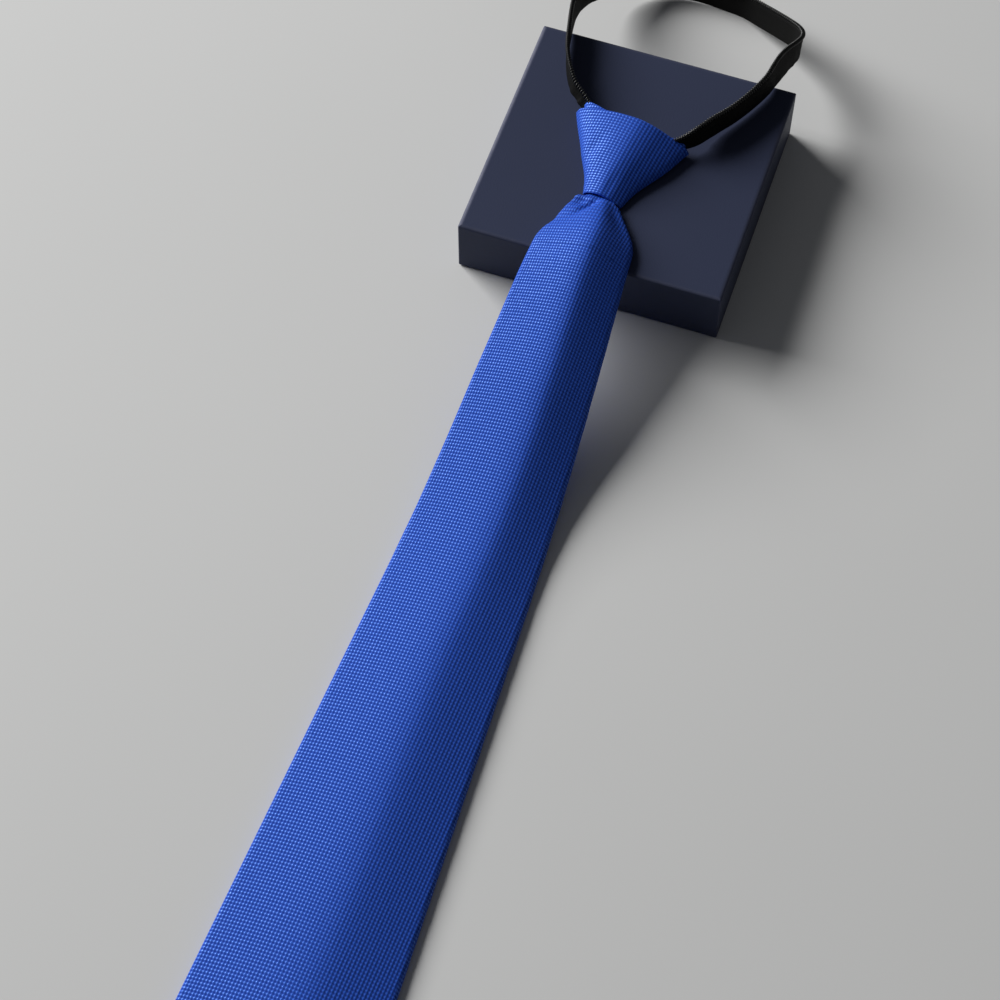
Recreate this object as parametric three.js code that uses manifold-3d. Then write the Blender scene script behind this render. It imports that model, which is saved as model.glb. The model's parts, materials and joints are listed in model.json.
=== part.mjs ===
// Zipper tie with a ready-made knot, lying on a closed gift box, in millimetres with +Z up.
// The origin is the centre of the box's underside. The blade runs towards -Y and down to the
// table, and the zipper neck loop stands up behind the knot, towards +Y.
import * as THREE from 'three';
import { mergeVertices } from 'three/addons/utils/BufferGeometryUtils.js';
import Module from 'manifold-3d';

const wasm = await Module();
wasm.setup();

// Running gaps
const GAP = 0.3;

// Gift box
const BOX_WIDTH = 115;
const BOX_DEPTH = 114;
const BOX_HEIGHT = 28.6;
const BOX_EDGE = 1.0;
const BOX_CORNER = 1.6;

// Knot, measured along its own axis from the hem to the top edge
const KNOT_LENGTH = 36.5;
const KNOT_TOP_WIDTH = 53.4;
const KNOT_HEM_WIDTH = 19.6;
const KNOT_TOP_RISE = 13.2;
const KNOT_HEM_RISE = 6.0;
const KNOT_WALL = 1.6;
const KNOT_CORE_WALL = 1.3;
const KNOT_CORE_DEPTH = 12.5;
const KNOT_TURN_DEG = 6;
const KNOT_SETBACK = 31.5;
const KNOT_OFFSET = -5.0;

// Blade of the tie, measured from the knot's hem
const BLADE_LENGTH = 429;
const BLADE_WIDTH = 79;
const TIP_LENGTH = 40;
const SHOULDER_WIDTH = 41.5;
const SHOULDER_DISTANCE = 27;
const BLADE_THICKNESS = 3.2;
const BLADE_RIDGE = 9;
const RIDGE_PLACE = 0.1;
const RIDGE_SOFTNESS = 0.4;
const BLADE_TURN_DEG = 0.7;
const BLADE_OFFSET = -3.6;
const NECK_INSET = 9;
const NECK_THICKNESS = 1.3;
const NECK_SLACK = 1.5;
const BRIDGE_LENGTH = 144;
const SEAM_LAP = 0.6;
const SEAM_REACH = 10;
const EDGE_LAND = 0.05;

// Zipper neck loop; the tape's width runs from the coil's middle to its free edge
const LOOP_WIDTH = 100;
const LOOP_REACH = 106;
const LOOP_OFFSET = 1.0;
const LOOP_OVERHANG = 60;
const TAPE_WIDTH = 11.5;
const TAPE_THICKNESS = 1.2;
const COIL_DIAMETER = 2.2;
const SLIDER_WIDTH = 7.5;
const SLIDER_NOSE = 5;
const SLIDER_LENGTH = 6.5;
const SLIDER_THICKNESS = 2.4;

// Mesh fineness
const ROUTE_STEPS = 2;
const COIL_SIDES = 8;
const BLADE_COLUMNS = 12;
const FUNNEL_STEPS = 12;
const RUN_STEPS = 16;
const RUN_CROWDING = 1.6;
const TIP_STATIONS = [0.3, 0.6, 0.85, 0.99];
const KNOT_STATIONS = 9;
const FOLD_TURNS = [0, 30, 60];

// Cloth arch of the knot across its width, as shares of the half width and of the rise
const KNOT_ARCH = [
  { across: -1.0, rise: 0.16 },
  { across: -0.95, rise: 0.4 },
  { across: -0.8, rise: 0.64 },
  { across: -0.6, rise: 0.79 },
  { across: -0.38, rise: 0.9 },
  { across: -0.12, rise: 0.98 },
  { across: 0.12, rise: 1.0 },
  { across: 0.38, rise: 0.95 },
  { across: 0.6, rise: 0.85 },
  { across: 0.8, rise: 0.67 },
  { across: 0.95, rise: 0.4 },
  { across: 1.0, rise: 0.16 },
];

// The knot's flat back, as shares of the half width
const KNOT_BACK = [0.95, 0.5, 0.0, -0.5, -0.95];

// Flare of the knot from hem to top, as shares of the change in width and in rise
const KNOT_FLARE = [
  { along: 0.0, width: 0.0, rise: 0.0 },
  { along: 0.25, width: 0.16, rise: 0.3 },
  { along: 0.5, width: 0.43, rise: 0.6 },
  { along: 0.75, width: 0.73, rise: 0.85 },
  { along: 1.0, width: 1.0, rise: 1.0 },
];

// How far the inner cloth layer stands out of the knot's top, as shares of its own depth
const CORE_PEEK = [
  { across: -1.0, rise: 0.3 },
  { across: -0.82, rise: 0.5 },
  { across: -0.6, rise: 0.2 },
  { across: 0.0, rise: -0.08 },
  { across: 0.5, rise: -0.02 },
  { across: 0.75, rise: 0.16 },
  { across: 1.0, rise: 0.08 },
];

// The blade's flare below the hem, as shares of the change from neck to shoulder
const FUNNEL = [
  { along: 0.0, left: 0.0, right: 0.0, ridge: 0.06, thick: 0.0 },
  { along: 0.1, left: 0.25, right: 0.22, ridge: 0.3, thick: 0.4 },
  { along: 0.27, left: 0.45, right: 0.43, ridge: 0.52, thick: 1.0 },
  { along: 0.45, left: 0.56, right: 0.66, ridge: 0.72, thick: 1.0 },
  { along: 0.63, left: 0.66, right: 0.85, ridge: 0.88, thick: 1.0 },
  { along: 0.82, left: 0.88, right: 0.97, ridge: 0.97, thick: 1.0 },
  { along: 1.0, left: 1.0, right: 1.0, ridge: 1.0, thick: 1.0 },
];

// The blade below its shoulder, as shares of the way from shoulder to tip shoulder
const BLADE_RUN = [
  { along: 0.0, width: 0.0, ridge: 1.0 },
  { along: 0.04, width: 0.06, ridge: 0.96 },
  { along: 0.1, width: 0.14, ridge: 0.88 },
  { along: 0.2, width: 0.26, ridge: 0.78 },
  { along: 0.35, width: 0.41, ridge: 0.68 },
  { along: 0.6, width: 0.64, ridge: 0.6 },
  { along: 1.0, width: 1.0, ridge: 0.54 },
];

// Stretch of the flare in which the blade comes down from the knot's inside to the box
const HEM_STEP = { from: 0.0, to: 0.22 };

// Height of the blade's edges between the box and the table, as shares of the bridge and the box
const BRIDGE = [
  { out: 0.0, height: 1.0 },
  { out: 0.1, height: 0.855 },
  { out: 0.23, height: 0.675 },
  { out: 0.36, height: 0.52 },
  { out: 0.48, height: 0.36 },
  { out: 0.6, height: 0.22 },
  { out: 0.735, height: 0.1 },
  { out: 0.87, height: 0.03 },
  { out: 1.0, height: 0.0 },
];

// Soft dents of the gathered cloth under the hem: places across and along, size as named shares
const DENTS = [
  { across: -0.5, along: 0.16, depth: 0.2, spread: 0.22, reach: 0.2 },
  { across: 0.62, along: 0.3, depth: 0.12, spread: 0.2, reach: 0.25 },
];

// Route of the coil from the slider round the neck, as shares of half the loop's width and of
// its reach. Lean is degrees that the tape's free edge stands outwards. Lift is how high that edge
// is held over what lies under it, and wide is how much of the tape isn't tucked away inside the
// knot, both as shares of the tape's width.
const LOOP_ROUTE = [
  { across: -0.11, back: -0.13, lean: 75, lift: 0.22, wide: 0.5 },
  { across: -0.12, back: -0.1, lean: 70, lift: 0.22, wide: 0.5 },
  { across: -0.18, back: -0.05, lean: 62, lift: 0.22, wide: 0.48 },
  { across: -0.29, back: 0.0, lean: 52, lift: 0.22, wide: 0.46 },
  { across: -0.4, back: 0.03, lean: 40, lift: 0.21, wide: 0.46 },
  { across: -0.48, back: 0.053, lean: 30, lift: 0.2, wide: 0.46 },
  { across: -0.522, back: 0.069, lean: 25, lift: 0.2, wide: 0.46 },
  { across: -0.557, back: 0.079, lean: 15, lift: 0.19, wide: 0.54 },
  { across: -0.606, back: 0.096, lean: 9, lift: 0.18, wide: 0.7 },
  { across: -0.666, back: 0.116, lean: 4, lift: 0.14, wide: 0.92 },
  { across: -0.712, back: 0.144, lean: 4, lift: 0.11, wide: 1 },
  { across: -0.758, back: 0.18, lean: 2, lift: 0.08, wide: 1 },
  { across: -0.8, back: 0.218, lean: 1, lift: 0.06, wide: 1 },
  { across: -0.855, back: 0.286, lean: 0, lift: 0.05, wide: 1 },
  { across: -0.905, back: 0.385, lean: -2, lift: 0.04, wide: 1 },
  { across: -0.94, back: 0.46, lean: -4, lift: 0.03, wide: 1 },
  { across: -0.965, back: 0.53, lean: -6, lift: 0.03, wide: 1 },
  { across: -0.97, back: 0.64, lean: -8, lift: 0.03, wide: 1 },
  { across: -0.92, back: 0.76, lean: -10, lift: 0.03, wide: 1 },
  { across: -0.77, back: 0.88, lean: -12, lift: 0.03, wide: 1 },
  { across: -0.5, back: 0.965, lean: -14, lift: 0.03, wide: 1 },
  { across: -0.24, back: 1, lean: -15, lift: 0.03, wide: 1 },
  { across: -0.04, back: 1.008, lean: -15, lift: 0.03, wide: 1 },
  { across: 0.17, back: 1, lean: -16, lift: 0.03, wide: 1 },
  { across: 0.38, back: 0.985, lean: -17, lift: 0.03, wide: 1 },
  { across: 0.58, back: 0.94, lean: -18, lift: 0.03, wide: 1 },
  { across: 0.8, back: 0.874, lean: -16, lift: 0.03, wide: 1 },
  { across: 0.925, back: 0.824, lean: -12, lift: 0.03, wide: 1 },
  { across: 0.99, back: 0.776, lean: -6, lift: 0.03, wide: 1 },
  { across: 1.01, back: 0.722, lean: 0, lift: 0.03, wide: 1 },
  { across: 0.99, back: 0.66, lean: 8, lift: 0.03, wide: 1 },
  { across: 0.944, back: 0.587, lean: 14, lift: 0.03, wide: 1 },
  { across: 0.912, back: 0.52, lean: 15, lift: 0.03, wide: 1 },
  { across: 0.893, back: 0.455, lean: 12, lift: 0.03, wide: 1 },
  { across: 0.87, back: 0.385, lean: 9, lift: 0.04, wide: 1 },
  { across: 0.791, back: 0.285, lean: 6, lift: 0.05, wide: 1 },
  { across: 0.692, back: 0.194, lean: 4, lift: 0.06, wide: 1 },
  { across: 0.628, back: 0.148, lean: 4, lift: 0.08, wide: 1 },
  { across: 0.566, back: 0.107, lean: 6, lift: 0.1, wide: 1 },
  { across: 0.479, back: 0.052, lean: 9, lift: 0.14, wide: 0.88 },
  { across: 0.405, back: 0.017, lean: 16, lift: 0.18, wide: 0.68 },
  { across: 0.339, back: -0.005, lean: 20, lift: 0.2, wide: 0.5 },
  { across: 0.27, back: -0.025, lean: 32, lift: 0.21, wide: 0.46 },
  { across: 0.18, back: -0.045, lean: 45, lift: 0.22, wide: 0.46 },
  { across: 0.09, back: -0.07, lean: 60, lift: 0.22, wide: 0.48 },
  { across: 0.02, back: -0.1, lean: 70, lift: 0.22, wide: 0.5 },
  { across: 0.005, back: -0.13, lean: 75, lift: 0.22, wide: 0.5 },
];

// Height of the tape's lower edge past the box's back, as shares of the overhang and the box
const LOOP_FALL = [
  { past: 0.0, height: 1.0 },
  { past: 0.17, height: 0.93 },
  { past: 0.32, height: 0.8 },
  { past: 0.44, height: 0.66 },
  { past: 0.6, height: 0.46 },
  { past: 0.72, height: 0.31 },
  { past: 0.84, height: 0.16 },
  { past: 0.95, height: 0.04 },
  { past: 1.0, height: 0.0 },
];

// Places worked out from the sizes
const boxFront = -BOX_DEPTH / 2;
const boxBack = BOX_DEPTH / 2;
const knotFloor = BOX_HEIGHT + GAP;
const hemY = boxFront + KNOT_SETBACK;
const knotTopY = hemY + KNOT_LENGTH;
const coilRadius = COIL_DIAMETER / 2;
const insideFloor = knotFloor + KNOT_WALL + GAP;
const knotTurn = THREE.MathUtils.degToRad(KNOT_TURN_DEG);
const neckEnd = (KNOT_HEM_WIDTH / 2) * Math.sin(knotTurn) + GAP;
const funnelLength = SHOULDER_DISTANCE - neckEnd;

// Surface finishes
const CLOTH_BLUE = { color: 0x1f4fd0, roughness: 0.62, metalness: 0 };
const CLOTH_SHADE = { color: 0x163a9c, roughness: 0.7, metalness: 0 };
const TAPE_BLACK = { color: 0x17181a, roughness: 0.85, metalness: 0 };
const NYLON_BLACK = { color: 0x222326, roughness: 0.45, metalness: 0 };
const BOX_NAVY = { color: 0x1c2138, roughness: 0.75, metalness: 0 };

// Reads a table at x by straight lines between its rows
function readTable(rows, key, x, value) {
  if (x <= rows[0][key]) return rows[0][value];
  for (let i = 1; i < rows.length; i += 1) {
    const low = rows[i - 1];
    const high = rows[i];
    if (x <= high[key]) {
      const share = (x - low[key]) / (high[key] - low[key]);
      return low[value] + share * (high[value] - low[value]);
    }
  }
  return rows[rows.length - 1][value];
}

// Reads a table at x on a smooth curve through its rows
function readSmooth(rows, key, x, value) {
  const last = rows.length - 1;
  if (x <= rows[0][key]) return rows[0][value];
  if (x >= rows[last][key]) return rows[last][value];
  let i = 1;
  while (x > rows[i][key]) i += 1;
  const low = rows[i - 1];
  const high = rows[i];
  const before = rows[Math.max(i - 2, 0)];
  const after = rows[Math.min(i + 1, last)];
  const span = high[key] - low[key];
  const startSlope = (high[value] - before[value]) / (high[key] - before[key]);
  const endSlope = (after[value] - low[value]) / (after[key] - low[key]);
  const t = (x - low[key]) / span;
  const t2 = t * t;
  const t3 = t2 * t;
  const startPart = (2 * t3 - 3 * t2 + 1) * low[value] + (t3 - 2 * t2 + t) * span * startSlope;
  const endPart = (3 * t2 - 2 * t3) * high[value] + (t3 - t2) * span * endSlope;
  return startPart + endPart;
}

// Makes an indexed geometry whose faces point out
function closedGeometry(points, faces) {
  let volume = 0;
  for (const [a, b, c] of faces) {
    volume += points[a].dot(new THREE.Vector3().crossVectors(points[b], points[c]));
  }
  const index = [];
  for (const [a, b, c] of faces) index.push(a, volume > 0 ? b : c, volume > 0 ? c : b);
  const geometry = new THREE.BufferGeometry();
  const numbers = points.flatMap((point) => point.toArray());
  geometry.setAttribute('position', new THREE.Float32BufferAttribute(numbers, 3));
  geometry.setIndex(index);
  geometry.computeVertexNormals();
  return geometry;
}

// Walls between each ring and the next; all rings have as many points
function wallFaces(faces, first, ringSize, ringCount, flip) {
  for (let r = 0; r < ringCount - 1; r += 1) {
    for (let i = 0; i < ringSize; i += 1) {
      const next = (i + 1) % ringSize;
      const a = first + r * ringSize + i;
      const b = first + r * ringSize + next;
      const c = a + ringSize;
      const d = b + ringSize;
      if (flip) faces.push([a, c, b], [b, c, d]);
      else faces.push([a, b, c], [b, d, c]);
    }
  }
}

// A solid through rings of points; each end is closed by pairing points across the ring
function loftSolid(rings) {
  const size = rings[0].length;
  const faces = [];
  wallFaces(faces, 0, size, rings.length, false);
  for (let i = 0; i < size / 2 - 1; i += 1) {
    const j = size - 1 - i;
    const end = (rings.length - 1) * size;
    faces.push([i, j, i + 1], [i + 1, j, j - 1]);
    faces.push([end + i, end + i + 1, end + j], [end + i + 1, end + j - 1, end + j]);
  }
  return closedGeometry(rings.flat(), faces);
}

// A sleeve between outer and inner rings, open at both ends
function loftSleeve(outer, inner) {
  const size = outer[0].length;
  const count = outer.length;
  const innerFirst = size * count;
  const faces = [];
  wallFaces(faces, 0, size, count, false);
  wallFaces(faces, innerFirst, size, count, true);
  for (let i = 0; i < size; i += 1) {
    const next = (i + 1) % size;
    const end = (count - 1) * size;
    faces.push([i, innerFirst + i, next], [next, innerFirst + i, innerFirst + next]);
    faces.push([end + i, end + next, innerFirst + end + i]);
    faces.push([end + next, innerFirst + end + next, innerFirst + end + i]);
  }
  return closedGeometry([...outer.flat(), ...inner.flat()], faces);
}

// Turns a closed geometry into a solid for cutting, and back
function toSolid(geometry) {
  const bare = geometry.clone();
  bare.deleteAttribute('normal');
  bare.deleteAttribute('uv');
  const merged = mergeVertices(bare, 1e-4);
  return new wasm.Manifold(new wasm.Mesh({
    numProp: 3,
    vertProperties: new Float32Array(merged.attributes.position.array),
    triVerts: new Uint32Array(merged.index.array),
  }));
}

function fromSolid(solid) {
  const mesh = solid.getMesh();
  const geometry = new THREE.BufferGeometry();
  geometry.setAttribute('position', new THREE.BufferAttribute(new Float32Array(mesh.vertProperties), 3));
  geometry.setIndex(new THREE.BufferAttribute(new Uint32Array(mesh.triVerts), 1));
  geometry.computeVertexNormals();
  return geometry;
}

function addPiece(parent, name, geometry, finish) {
  const mesh = new THREE.Mesh(geometry, new THREE.MeshStandardMaterial(finish));
  mesh.name = name;
  parent.add(mesh);
  return mesh;
}

// Gift box: one closed block with softened edges
function giftBoxGeometry() {
  const halfWidth = BOX_WIDTH / 2 - BOX_EDGE;
  const halfDepth = BOX_DEPTH / 2 - BOX_EDGE;
  const radius = BOX_CORNER;
  const outline = new THREE.Shape();
  outline.moveTo(-halfWidth + radius, -halfDepth);
  outline.lineTo(halfWidth - radius, -halfDepth);
  outline.absarc(halfWidth - radius, -halfDepth + radius, radius, -Math.PI / 2, 0);
  outline.lineTo(halfWidth, halfDepth - radius);
  outline.absarc(halfWidth - radius, halfDepth - radius, radius, 0, Math.PI / 2);
  outline.lineTo(-halfWidth + radius, halfDepth);
  outline.absarc(-halfWidth + radius, halfDepth - radius, radius, Math.PI / 2, Math.PI);
  outline.lineTo(-halfWidth, -halfDepth + radius);
  outline.absarc(-halfWidth + radius, -halfDepth + radius, radius, Math.PI, Math.PI * 1.5);
  const geometry = new THREE.ExtrudeGeometry(outline, {
    depth: BOX_HEIGHT - 2 * BOX_EDGE,
    bevelThickness: BOX_EDGE,
    bevelSize: BOX_EDGE,
    bevelSegments: 2,
    curveSegments: 3,
  });
  geometry.translate(0, 0, BOX_EDGE);
  return geometry;
}

// Half width and rise of the knot's outside, at a share of its length from the hem
function knotSize(along) {
  const width = readSmooth(KNOT_FLARE, 'along', along, 'width');
  const rise = readSmooth(KNOT_FLARE, 'along', along, 'rise');
  return {
    half: (KNOT_HEM_WIDTH + width * (KNOT_TOP_WIDTH - KNOT_HEM_WIDTH)) / 2,
    rise: KNOT_HEM_RISE + rise * (KNOT_TOP_RISE - KNOT_HEM_RISE),
  };
}

// One D-shaped section of the knot, drawn in by inset
function knotOutline(along, inset) {
  const { half, rise } = knotSize(along);
  const insideHalf = half - inset;
  const insideRise = rise - 2 * inset;
  const arch = KNOT_ARCH.map(({ across, rise: share }) => {
    return new THREE.Vector2(across * insideHalf, inset + share * insideRise);
  });
  const back = KNOT_BACK.map((across) => new THREE.Vector2(across * insideHalf, inset));
  return [...arch, ...back];
}

// Rings of a knot layer in the knot's frame: hem at y 0, back at z 0
function knotRings(fromShare, inset, peek) {
  const rings = [];
  for (let s = 0; s < KNOT_STATIONS; s += 1) {
    const step = s / (KNOT_STATIONS - 1);
    const along = fromShare + step * (1 - fromShare);
    const { half } = knotSize(along);
    const endPeek = s === KNOT_STATIONS - 1 ? peek : 0;
    rings.push(knotOutline(along, inset).map((point) => {
      const push = endPeek * readTable(CORE_PEEK, 'across', point.x / half, 'rise');
      return new THREE.Vector3(point.x, along * KNOT_LENGTH + push, point.y);
    }));
  }
  return rings;
}

function knotWrapGeometry() {
  return loftSleeve(knotRings(0, 0, 0), knotRings(0, KNOT_WALL, 0));
}

function knotCoreGeometry() {
  const start = 1 - KNOT_CORE_DEPTH / KNOT_LENGTH;
  const outside = KNOT_WALL + 2 * GAP;
  const inside = outside + KNOT_CORE_WALL;
  const outer = knotRings(start, outside, KNOT_CORE_DEPTH);
  const inner = knotRings(start, inside, KNOT_CORE_DEPTH);
  return loftSleeve(outer, inner);
}

// Height of the cloth's edges over the table, at a distance out from the box's front
function bladeFloor(out, alongFunnel) {
  if (out > 0) return readSmooth(BRIDGE, 'out', out / BRIDGE_LENGTH, 'height') * BOX_HEIGHT;
  const outOfKnot = THREE.MathUtils.smoothstep(alongFunnel, HEM_STEP.from, HEM_STEP.to);
  return THREE.MathUtils.lerp(insideFloor, knotFloor, outOfKnot);
}

// Rounded roof across the blade, 0 at the edges and 1 on the ridge
function roof(across) {
  const side = across < RIDGE_PLACE ? RIDGE_PLACE + 1 : 1 - RIDGE_PLACE;
  const share = Math.abs(across - RIDGE_PLACE) / side;
  const full = Math.hypot(1, RIDGE_SOFTNESS) - RIDGE_SOFTNESS;
  return 1 - (Math.hypot(share, RIDGE_SOFTNESS) - RIDGE_SOFTNESS) / full;
}

function dentDepth(across, alongFunnel) {
  let depth = 0;
  for (const dent of DENTS) {
    const a = (across - dent.across) / dent.spread;
    const b = (alongFunnel - dent.along) / dent.reach;
    depth += dent.depth * Math.exp(-a * a - b * b);
  }
  return depth;
}

// One section of the blade: top side from left to right, then underside back
function bladeRing(station) {
  const { y, left, right, ridge, thickness, floor, alongFunnel } = station;
  const width = left + right;
  const radius = Math.min(thickness / 2, width / 5);
  const foldThick = (angle) => Math.max(Math.sin(angle) * thickness / 2, EDGE_LAND);
  const points = [];
  for (const turn of FOLD_TURNS) {
    const angle = THREE.MathUtils.degToRad(turn);
    points.push({ x: -left + radius * (1 - Math.cos(angle)), thick: foldThick(angle) });
  }
  for (let c = 0; c <= BLADE_COLUMNS; c += 1) {
    const x = -left + radius + (c / BLADE_COLUMNS) * (width - 2 * radius);
    points.push({ x, thick: thickness / 2 });
  }
  for (const turn of [...FOLD_TURNS].reverse()) {
    const angle = THREE.MathUtils.degToRad(turn);
    points.push({ x: right - radius * (1 - Math.cos(angle)), thick: foldThick(angle) });
  }
  const top = [];
  const under = [];
  const seamAt = (right - left) / 2;
  const lapDepth = Math.min(SEAM_LAP, thickness / 4);
  for (const { x, thick } of points) {
    const across = x < 0 ? x / left : x / right;
    const middle = floor + thickness / 2 + ridge * (roof(across) - dentDepth(across, alongFunnel));
    const fromSeam = (x - seamAt) / SEAM_REACH;
    const lap = fromSeam > 0 && fromSeam < 1 ? lapDepth * (1 - fromSeam) : 0;
    top.push(new THREE.Vector3(x, y, middle + thick));
    under.push(new THREE.Vector3(x, y, middle - thick + lap));
  }
  return [...top, ...under.reverse()];
}

// Stations of the blade from inside the knot to the tip
function bladeStations() {
  const stations = [];
  const neckHalf = KNOT_HEM_WIDTH / 2 - KNOT_WALL - NECK_SLACK;
  const neckShift = BLADE_OFFSET - KNOT_OFFSET;
  const neckLeft = neckHalf + neckShift;
  const neckRight = neckHalf - neckShift;
  const shoulderHalf = SHOULDER_WIDTH / 2;
  const add = (distance, left, right, ridge, thickness) => {
    const out = distance - KNOT_SETBACK;
    const alongFunnel = (distance - neckEnd) / funnelLength;
    stations.push({
      y: -distance, left, right, ridge, thickness, alongFunnel, floor: bladeFloor(out, alongFunnel),
    });
  };
  const neckRidge = FUNNEL[0].ridge * BLADE_RIDGE;
  add(-NECK_INSET, neckLeft, neckRight, neckRidge, NECK_THICKNESS);
  add(-NECK_INSET / 2, neckLeft, neckRight, neckRidge, NECK_THICKNESS);
  for (let i = 0; i < FUNNEL_STEPS; i += 1) {
    const along = i / FUNNEL_STEPS;
    const left = neckLeft + readSmooth(FUNNEL, 'along', along, 'left') * (shoulderHalf - neckLeft);
    const right = neckRight + readSmooth(FUNNEL, 'along', along, 'right') * (shoulderHalf - neckRight);
    const ridge = readSmooth(FUNNEL, 'along', along, 'ridge') * BLADE_RIDGE;
    const filling = readSmooth(FUNNEL, 'along', along, 'thick') * (BLADE_THICKNESS - NECK_THICKNESS);
    add(neckEnd + along * funnelLength, left, right, ridge, NECK_THICKNESS + filling);
  }
  const runLength = BLADE_LENGTH - TIP_LENGTH - SHOULDER_DISTANCE;
  for (let i = 0; i <= RUN_STEPS; i += 1) {
    const step = (i / RUN_STEPS) ** RUN_CROWDING;
    const widening = readSmooth(BLADE_RUN, 'along', step, 'width') * (BLADE_WIDTH - SHOULDER_WIDTH);
    const half = (SHOULDER_WIDTH + widening) / 2;
    const ridge = readSmooth(BLADE_RUN, 'along', step, 'ridge') * BLADE_RIDGE;
    add(SHOULDER_DISTANCE + step * runLength, half, half, ridge, BLADE_THICKNESS);
  }
  const tipRidge = BLADE_RUN[BLADE_RUN.length - 1].ridge * BLADE_RIDGE;
  for (const share of TIP_STATIONS) {
    const half = (1 - share) * BLADE_WIDTH / 2;
    add(BLADE_LENGTH - TIP_LENGTH * (1 - share), half, half, tipRidge * (1 - share), BLADE_THICKNESS);
  }
  return stations;
}

function bladeGeometry() {
  return loftSolid(bladeStations().map(bladeRing));
}

// Coil centre line and tape direction at every step of the neck loop
function loopFrames() {
  const plan = LOOP_ROUTE.map((row) => {
    const x = LOOP_OFFSET + row.across * LOOP_WIDTH / 2;
    const y = knotTopY + row.back * LOOP_REACH;
    const past = Math.max(0, (y - boxBack) / LOOP_OVERHANG);
    const floor = readTable(LOOP_FALL, 'past', past, 'height') * BOX_HEIGHT;
    const lean = THREE.MathUtils.degToRad(row.lean);
    const width = row.wide * TAPE_WIDTH;
    const z = floor + GAP + row.lift * TAPE_WIDTH + width * Math.cos(lean);
    return { point: new THREE.Vector3(x, y, z), lean, width };
  });
  const places = new THREE.CatmullRomCurve3(plan.map((row) => row.point), false, 'centripetal');
  const frames = [];
  const steps = ROUTE_STEPS * (plan.length - 1);
  for (let i = 0; i <= steps; i += 1) {
    const t = i / steps;
    const low = Math.min(Math.floor(i / ROUTE_STEPS), plan.length - 2);
    const lean = THREE.MathUtils.lerp(plan[low].lean, plan[low + 1].lean, i / ROUTE_STEPS - low);
    const width = THREE.MathUtils.lerp(plan[low].width, plan[low + 1].width, i / ROUTE_STEPS - low);
    const place = places.getPoint(t);
    const tangent = places.getTangent(t);
    const outward = new THREE.Vector3(-tangent.y, tangent.x, 0).normalize();
    const down = new THREE.Vector3(0, 0, -Math.cos(lean)).addScaledVector(outward, Math.sin(lean));
    down.addScaledVector(tangent, -down.dot(tangent)).normalize();
    const face = new THREE.Vector3().crossVectors(tangent, down);
    frames.push({ place, tangent, down, face, width });
  }
  return frames;
}

// A flat band below the coil, through the given frames, grown by extra on every side
function tapeGeometry(frames, extra) {
  const nearEdge = coilRadius + GAP - extra;
  const half = TAPE_THICKNESS / 2 + extra;
  return loftSolid(frames.map(({ place, down, face, width }) => {
    const farEdge = width + extra;
    const corner = (along, across) => {
      return place.clone().addScaledVector(down, along).addScaledVector(face, across);
    };
    return [corner(nearEdge, -half), corner(farEdge, -half), corner(farEdge, half), corner(nearEdge, half)];
  }));
}

// A round coil along the given frames
function coilGeometry(frames, extra) {
  const radius = coilRadius + extra;
  return loftSolid(frames.map(({ place, down, face }) => {
    const ring = [];
    for (let i = 0; i < COIL_SIDES; i += 1) {
      const angle = (i / COIL_SIDES) * Math.PI * 2;
      ring.push(place.clone().addScaledVector(down, radius * Math.cos(angle))
        .addScaledVector(face, radius * Math.sin(angle)));
    }
    return ring;
  }));
}

// The frames with the first and the last one moved along the route
function withEndsMoved(frames, firstShift, lastShift) {
  const copy = [...frames];
  const last = copy.length - 1;
  for (const [at, shift] of [[0, firstShift], [last, lastShift]]) {
    const place = copy[at].place.clone().addScaledVector(copy[at].tangent, shift);
    copy[at] = { ...copy[at], place };
  }
  return copy;
}

// Zipper slider: a plain wedge whose wide end meets both tapes
function sliderGeometry() {
  const outline = new THREE.Shape();
  outline.moveTo(-SLIDER_NOSE / 2, -SLIDER_LENGTH);
  outline.lineTo(SLIDER_NOSE / 2, -SLIDER_LENGTH);
  outline.lineTo(SLIDER_WIDTH / 2, 0);
  outline.lineTo(-SLIDER_WIDTH / 2, 0);
  const geometry = new THREE.ExtrudeGeometry(outline, { depth: SLIDER_THICKNESS, bevelEnabled: false });
  geometry.translate(0, 0, -SLIDER_THICKNESS / 2);
  return geometry;
}

// Takes the room of the cutters, given in world coordinates, out of a piece of a turned group
function cutRoom(geometry, group, cutters) {
  group.updateMatrixWorld(true);
  const inward = group.matrixWorld.clone().invert();
  let solid = toSolid(geometry);
  for (const cutter of cutters) solid = solid.subtract(toSolid(cutter.clone().applyMatrix4(inward)));
  const bodies = solid.decompose().sort((a, b) => b.volume() - a.volume());
  return fromSolid(bodies[0]);
}

const tie = new THREE.Group();

addPiece(tie, 'gift_box', giftBoxGeometry(), BOX_NAVY);

// Neck loop: two tapes that meet behind the neck, with their coils
const frames = loopFrames();
const backRow = LOOP_ROUTE.reduce((best, row, i) => (row.back > LOOP_ROUTE[best].back ? i : best), 0);
const leftFrames = withEndsMoved(frames.slice(0, backRow * ROUTE_STEPS + 1), 0, -GAP / 2);
const rightFrames = withEndsMoved(frames.slice(backRow * ROUTE_STEPS), GAP / 2, 0);
addPiece(tie, 'tape_left', tapeGeometry(leftFrames, 0), TAPE_BLACK);
addPiece(tie, 'tape_right', tapeGeometry(rightFrames, 0), TAPE_BLACK);
addPiece(tie, 'coil_left', coilGeometry(leftFrames, 0), NYLON_BLACK);
addPiece(tie, 'coil_right', coilGeometry(rightFrames, 0), NYLON_BLACK);

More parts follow.
